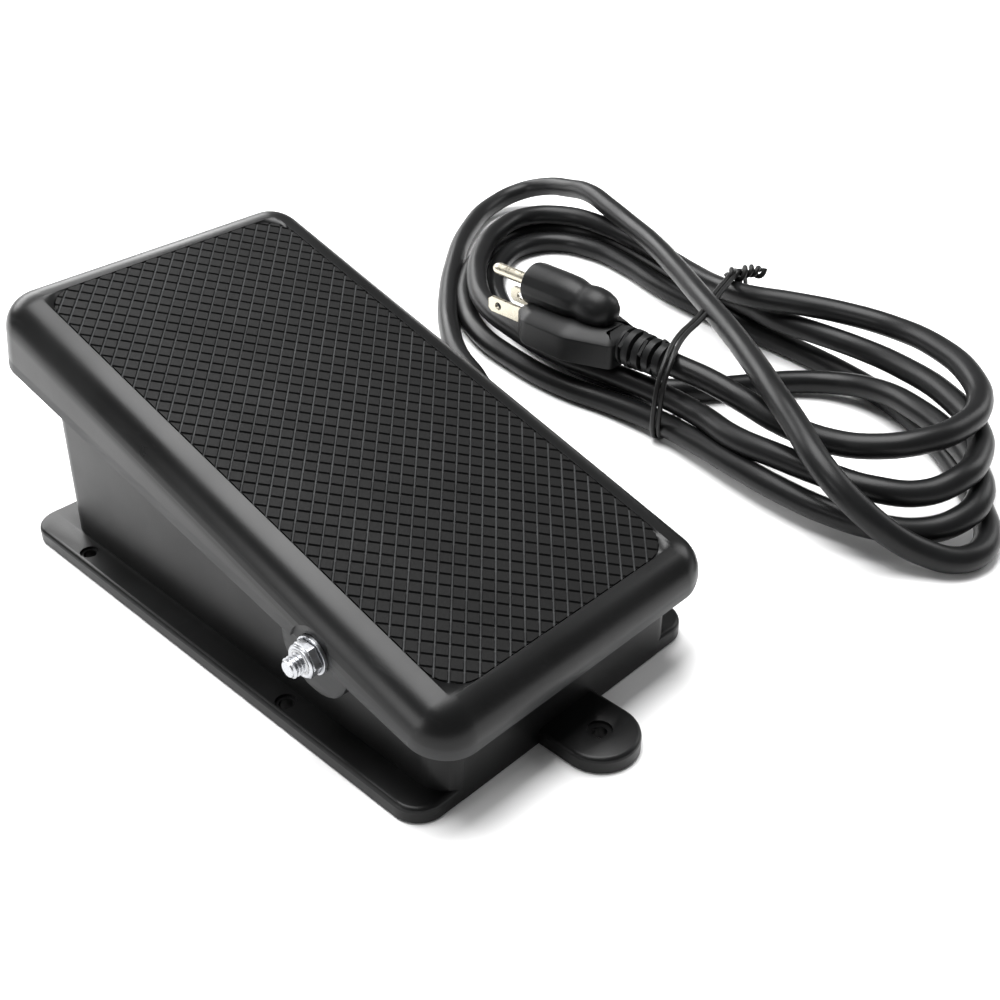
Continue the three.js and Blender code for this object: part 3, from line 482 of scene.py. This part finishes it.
def plug_body():
    bm = bmesh.new()
    outline = [(0, -9), (0, 9), (-8, 15.5), (-28, 15.5), (-PLUG_LENGTH, 8.5),
               (-PLUG_LENGTH, -8.5), (-28, -15.5), (-8, -15.5)]
    outline_block(bm, outline, 0, PLUG_THICKNESS)
    upright = [e for e in bm.edges if abs(e.verts[0].co.z - e.verts[1].co.z) > 5]
    bmesh.ops.bevel(bm, geom=upright, offset=2.2, segments=3, profile=0.5, affect="EDGES", material=-1)
    top = [f for f in bm.faces if f.calc_center_median().z > 12.9]
    bmesh.ops.inset_region(bm, faces=top, thickness=1.2, depth=0.0)
    bmesh.ops.inset_region(bm, faces=top, thickness=4.2, depth=0.0)
    for vert in bm.verts:
        if vert.co.z > 12.9:
            if any(abs(f.normal.z) < 0.5 for f in vert.link_faces):
                vert.co.z = 9.4
            elif not any(f in top for f in vert.link_faces):
                vert.co.z = 10.6
            else:
                vert.co.z = 13.0
    waist = [(0, 0), (7.4, 0), (8.2, 0.6), (8.5, 3), (8.5, 16), (8.3, 21), (7.5, 24.5),
             (7.1, 26), (7.5, 28.5), (7.7, 31), (7.3, 34.5), (6.2, 37.6), (4.4, 39.8), (2.2, 40.9), (0, 41.2)]
    slab_verts = set(bm.verts)
    along_grip = Matrix.Translation((0, 0, GROUND_PIN_Z)) @ Matrix.Rotation(-math.pi / 2, 4, "Y")
    lathe(bm, waist, 48, along_grip)
    for vert in (v for v in bm.verts if v not in slab_verts):
        if -23 < vert.co.x < -1.5:
            angle = abs(math.degrees(math.atan2(vert.co.y, vert.co.z - GROUND_PIN_Z)))
            if 40 < angle < 110:
                pull = 1.0 - 0.05 * (0.5 - 0.5 * math.cos(math.radians(angle * 15)))
                vert.co.y *= pull
                vert.co.z = GROUND_PIN_Z + (vert.co.z - GROUND_PIN_Z) * pull
    return to_object("plug_moulding", bm, PLUG, PLUG_TO_FRAME)


def plug_relief():
    bm = bmesh.new()
    profile = [(0, 0), (7.2, 0), (7.2, 1.2)]
    for i in range(4):
        start = 1.3 + i * 4.5
        radius = 7.4 - i * 0.3
        profile += [(radius - 2.0, start), (radius - 2.0, start + 1.2),
                    (radius, start + 1.4), (radius, start + 4.3)]
    profile += [(5.4, 19.4), (4.9, 20.0), (0, 20.0)]
    tail = Matrix.Translation((-PLUG_LENGTH - 0.3, 0, RELIEF_Z))
    lathe(bm, profile, 36, tail @ Matrix.Rotation(-math.pi / 2, 4, "Y"))
    for i in range(4):
        turn = Matrix.Rotation(math.radians(45 if i % 2 else -45), 4, "X")
        for side in (-1, 1):
            spot = (-PLUG_LENGTH - 2.2 - i * 4.5, 0, side * 5.2)
            block(bm, (1.6, 6.5, 3.2), spot, Matrix.Translation((0, 0, RELIEF_Z)) @ turn)
    return to_object("plug_strain_relief", bm, PLUG, PLUG_TO_FRAME)


def round_pin():
    bm = bmesh.new()
    profile = [(0, 0.3), (2.4, 0.3), (2.4, 17.6), (2.3, 18.6), (1.95, 19.7), (1.35, 20.5),
               (0.6, 20.95), (0, 21.0)]
    forward = Matrix.Translation((0, 0, GROUND_PIN_Z)) @ Matrix.Rotation(math.pi / 2, 4, "Y")
    lathe(bm, profile, 32, forward)
    return to_object("earth_pin", bm, PIN, PLUG_TO_FRAME)


body = plug_body()
soften(body, 0.3, 2, 40)
plug_tail = soften(plug_relief(), 0.25, 1, 50)
earth_pin = round_pin()
line_blade = refined("flat_pin_line", "line_blade", PIN, 0.2)
neutral_blade = refined("flat_pin_neutral", "neutral_blade", PIN, 0.2)
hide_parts("plug_body")
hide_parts("plug_relief")
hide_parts("ground_pin")
for piece, slot in ((body, "plug_pvc"), (plug_tail, "plug_pvc"), (earth_pin, "pin_metal"),
                    (line_blade, "pin_metal"), (neutral_blade, "pin_metal")):
    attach(piece, BASE)

# ---- twist tie ----------------------------------------------------------------
TIE_RADIUS, TAIL_RADIUS = 0.95, 1.05
TIE_LOOP = [
    (150, -13, TIE_RADIUS), (140, -16, TIE_RADIUS), (133, -17.5, 1.8), (129.8, -18.5, 7),
    (129.2, -19, 15), (131, -18.5, 24), (136, -17, 30), (144.5, -13.5, 32.6), (153, -10.5, 33.2),
    (166, -6.5, 32), (180, -1.3, 30.2), (197, 6, 29), (212, 11, 28.6), (222, 15, 27.4),
    (231, 18.5, 23.5), (237, 20.5, 17), (239.5, 21.5, 9), (238, 21, 3), (230, 18, TIE_RADIUS),
]
BESIDE = [(x + 1.1, y - 1.9, z + 0.15) for x, y, z in TIE_LOOP]
tie_a = smooth_curve("tie_wire_1", TIE_LOOP, TIE_RADIUS, TIE, 6, 3)
tie_b = smooth_curve("tie_wire_2", BESIDE, TIE_RADIUS, TIE, 6, 3)
KNOT_START, KNOT_END = (216.0, 13.0, 28.5), (230.0, 6.0, 28.5)


def twisted_tail(phase):
    points = []
    turns, steps = 2.6, 44
    start, end = Vector(KNOT_START), Vector(KNOT_END)
    along = (end - start).normalized()
    side = along.cross(Vector((0, 0, 1))).normalized()
    up = side.cross(along)
    for i in range(steps + 1):
        t = i / steps
        angle = phase + t * turns * 2 * math.pi
        radius = 1.7 + 0.7 * math.sin(5.0 * t + phase)
        spot = start.lerp(end, t) + side * radius * math.cos(angle) + up * radius * math.sin(angle)
        points.append(tuple(spot))
    return points


tail_a = smooth_curve("tie_tail_1", twisted_tail(0.0), TAIL_RADIUS, TIE, 4, 3)
tail_b = smooth_curve("tie_tail_2", twisted_tail(math.pi), TAIL_RADIUS, TIE, 4, 3)
for piece in (tie_a, tie_b, tail_a, tail_b):
    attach(piece, BASE)
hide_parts("twist_tie")

# ---- base and treadle -------------------------------------------------------------
housing = refined("base_shell", "base_housing", HOUSING, 0.35, 2)
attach(housing, BASE)
treadle = refined("treadle_shell", "treadle", TREADLE_PLASTIC, 0.0, 2, 35.0, None)
weighted = treadle.modifiers.new("even_shading", "WEIGHTED_NORMAL")
weighted.keep_sharp = True
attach(treadle, TREADLE)

MAT_HALF, MAT_LOW, MAT_HIGH, MAT_CORNER = 42.6, 10.9, 186.7, 10.0
MAT_TOP, MAT_UNDERSIDE = 0.1, -1.25
GROOVE_STEPS = [(-0.40, 0.0), (-0.12, 1.0), (0.12, 1.0), (0.40, 0.0)]


def groove_lines(low, high, phase):
    """Grid lines across the grooves: [(position, share of the groove's depth)]."""
    lines = [(low, 0.0)]
    centre = low + (phase - low) % GROOVE_PITCH
    while centre < high:
        lines += [(centre + d, share) for d, share in GROOVE_STEPS if low < centre + d < high]
        centre += GROOVE_PITCH
    return lines + [(high, 0.0)]


def tread_mat():
    reach = (MAT_HALF + MAT_HIGH) / math.sqrt(2) + 1
    short = (MAT_HALF - MAT_LOW) / math.sqrt(2) + 1
    along = groove_lines(-reach, short, ROW_PHASE)
    across = groove_lines(-short, reach, CROSS_PHASE)
    bm = bmesh.new()
    bmesh.ops.create_grid(bm, x_segments=len(along) - 1, y_segments=len(across) - 1, size=1.0)
    root = math.sqrt(0.5)
    for vert in bm.verts:
        a, deep_a = along[round((vert.co.x + 1) / 2 * (len(along) - 1))]
        b, deep_b = across[round((vert.co.y + 1) / 2 * (len(across) - 1))]
        vert.co = ((a + b) * root, (b - a) * root, MAT_TOP - GROOVE_DEPTH * max(deep_a, deep_b))
    cuts = [((MAT_HALF, 0), (1, 0)), ((-MAT_HALF, 0), (-1, 0)),
            ((0, MAT_HIGH), (0, 1)), ((0, MAT_LOW), (0, -1))]
    for sx in (-1, 1):
        for sy, edge in ((-1, MAT_LOW), (1, MAT_HIGH)):
            centre = (sx * (MAT_HALF - MAT_CORNER), edge - sy * MAT_CORNER)
            for i in range(1, 8):
                angle = i * math.pi / 16
                nx, ny = sx * math.cos(angle), sy * math.sin(angle)
                cuts.append(((centre[0] + nx * MAT_CORNER, centre[1] + ny * MAT_CORNER), (nx, ny)))
    for (px, py), (nx, ny) in cuts:
        everything = bm.verts[:] + bm.edges[:] + bm.faces[:]
        bmesh.ops.bisect_plane(bm, geom=everything, plane_co=(px, py, 0),
                               plane_no=(nx, ny, 0), clear_outer=True)
    rim = [e for e in bm.edges if e.is_boundary]
    skirt = bmesh.ops.extrude_edge_only(bm, edges=rim)
    low_verts = [g for g in skirt["geom"] if isinstance(g, bmesh.types.BMVert)]
    for vert in low_verts:
        vert.co.z = MAT_UNDERSIDE
    low_edges = [e for e in bm.edges if e.is_boundary]
    bmesh.ops.contextual_create(bm, geom=low_edges)
    return to_object("ribbed_mat", bm, MAT, TO_TREADLE, 20.0)


mat = tread_mat()
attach(mat, TREADLE)
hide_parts("tread_mat")

# ---- pivot bolt and its nut ----------------------------------------------------------
ACROSS = Matrix.Translation((0, *PIVOT)) @ Matrix.Rotation(math.pi / 2, 4, "Y")
TO_LEFT = Matrix.Translation((0, *PIVOT)) @ Matrix.Rotation(-math.pi / 2, 4, "Y")


HEX_FLATS = 9.2


def hexagon(bm, z0, z1, matrix):
    corner = HEX_FLATS / math.sqrt(3)
    middle = Matrix.Translation((0, 0, (z0 + z1) / 2))
    bmesh.ops.create_cone(bm, cap_ends=True, segments=6, radius1=corner, radius2=corner,
                          depth=z1 - z0, matrix=matrix @ middle)


def bolt():
    bm = bmesh.new()
    core, crest, pitch = 2.35, 2.95, 1.0
    profile = [(0, -61.2), (2.2, -61.2)]
    z = -60.8
    while z < -52.0:
        profile += [(core, z), (crest, z + 0.42), (crest, z + 0.58)]
        z += pitch
    profile += [(2.9, -51.5), (2.9, 54.9), (0, 54.9)]
    lathe(bm, profile, 32, ACROSS)
    hexagon(bm, 54.3, 56.9, ACROSS)
    return to_object("pivot_bolt_turned", bm, ZINC, TO_FRAME, 28)


def nut():
    bm = bmesh.new()
    hexagon(bm, 53.9, 56.5, TO_LEFT)
    profile = [(3.1, 56.2), (4.7, 56.2), (4.75, 56.9), (4.5, 57.3), (4.0, 57.4), (3.6, 57.2),
               (3.1, 57.1), (3.1, 56.2)]
    lathe(bm, profile, 40, TO_LEFT)
    return to_object("lock_nut_hex", bm, ZINC, TO_FRAME, 28)


def nut_ring():
    bm = bmesh.new()
    profile = [(3.0, 56.4), (3.55, 56.4), (3.55, 57.3), (3.0, 57.35), (3.0, 56.4)]
    lathe(bm, profile, 40, TO_LEFT)
    return to_object("lock_nut_ring", bm, LOCK_RING, TO_FRAME, 28)


def washer_piece(name, x0, x1):
    bm = bmesh.new()
    lathe(bm, [(3.2, x0), (5.6, x0), (5.6, x1), (3.2, x1), (3.2, x0)], 48, ACROSS)
    return to_object(name, bm, ZINC, TO_FRAME, 28)


pivot = soften(bolt(), 0.12, 1, 50)
lock_nut = soften(nut(), 0.35, 3, 40)
ring = nut_ring()
washers = [soften(washer_piece("nut_side_washer", -53.8, -52.7), 0.15, 2),
           soften(washer_piece("head_side_washer", 52.9, 54.2), 0.15, 2)]
for piece, slot in ((pivot, "zinc_steel"), (lock_nut, "zinc_steel"), (ring, "nylon"),
                    (washers[0], "zinc_steel"), (washers[1], "zinc_steel")):
    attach(piece, TREADLE)
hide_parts("pivot_bolt")
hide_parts("lock_nut")
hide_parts("nut_washer")
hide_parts("head_washer")

# ---- the other pieces keep their CAD shape, with softened edges ---------------------------
INNER = {
    "bottom_cover": (INNER_BLACK, 0.3), "left_bush": (NYLON, 0.2), "right_bush": (NYLON, 0.2),
    "return_spring": (SPRING, 0.0), "slide_potentiometer": (INNER_BLACK, 0.3),
    "circuit_board": (BOARD, 0.1), "heat_sink": (ALUMINIUM, 0.15), "choke_coil": (COPPER, 0.4),
    "triac": (INNER_BLACK, 0.2), "suppressor_capacitor": (WIRE_WHITE, 0.4),
    "outlet_socket": (HOUSING, 0.4), "cord_clamp": (INNER_BLACK, 0.3),
    "line_wire_in": (WIRE_BLACK, 0.0), "line_wire_out": (WIRE_BLACK, 0.0),
    "neutral_wire_in": (WIRE_WHITE, 0.0), "neutral_wire_out": (WIRE_WHITE, 0.0),
    "earth_wire": (WIRE_GREEN, 0.0),
}
for stem, count, look in (("cover_screw", 4, ZINC), ("rubber_foot", 4, FOOT_RUBBER),
                          ("socket_screw", 2, ZINC), ("clamp_screw", 2, ZINC),
                          ("rest_pad", 2, FOOT_RUBBER), ("end_buffer", 2, FOOT_RUBBER)):
    for i in range(count):
        INNER[f"{stem}_{i + 1}"] = (look, 0.15)
for node, (look, edge) in INNER.items():
    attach(refined(f"{node}_piece", node, look, edge), BASE)
for node in ("push_rod", "wiper_carriage"):
    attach(refined(f"{node}_piece", node, NYLON, 0.2), PLUNGER)


# ---- floor and light ----------------------------------------------------------------------
FLOOR_HALF_WIDTH = 3.0
WORLD_STRENGTH = 0.22


def floor():
    bm = bmesh.new()
    bmesh.ops.create_grid(bm, x_segments=2, y_segments=2, size=FLOOR_HALF_WIDTH)
    n = Nodes("floor")
    look = n.finish(n.mix(n.noise(3.0), grey(0.86), grey(0.88)), 0.7, 0.0, None, 0.2)
    return to_object("floor", bm, look, Matrix.Translation((0.1, 0, 0)))


floor()

world = bpy.data.worlds.new("studio")
bpy.context.scene.world = world
world.use_nodes = True
background = world.node_tree.nodes["Background"]
background.inputs["Color"].default_value = (1.0, 1.0, 1.0, 1.0)
background.inputs["Strength"].default_value = WORLD_STRENGTH


def softbox(name, spot, target, size, power):
    data = bpy.data.lights.new(name, "AREA")
    data.shape = "RECTANGLE"
    data.size, data.size_y = size
    data.energy = power
    lamp = bpy.data.objects.new(name, data)
    lamp.location = spot
    lamp.rotation_euler = (Vector(target) - Vector(spot)).to_track_quat("-Z", "Y").to_euler()
    bpy.context.scene.collection.objects.link(lamp)


softbox("top_box", (0.1, 0.35, 1.6), (0.1, 0.05, 0.0), (1.5, 1.1), 62.0)
softbox("back_box", (0.25, 1.6, 0.75), (0.05, 0.0, 0.04), (1.6, 0.7), 26.0)
softbox("left_box", (-1.5, 0.35, 0.55), (0.0, 0.0, 0.03), (0.5, 0.7), 8.0)
softbox("right_box", (1.4, -0.4, 0.8), (0.1, 0.0, 0.03), (0.6, 0.9), 7.0)
bpy.context.scene.view_settings.view_transform = "Standard"
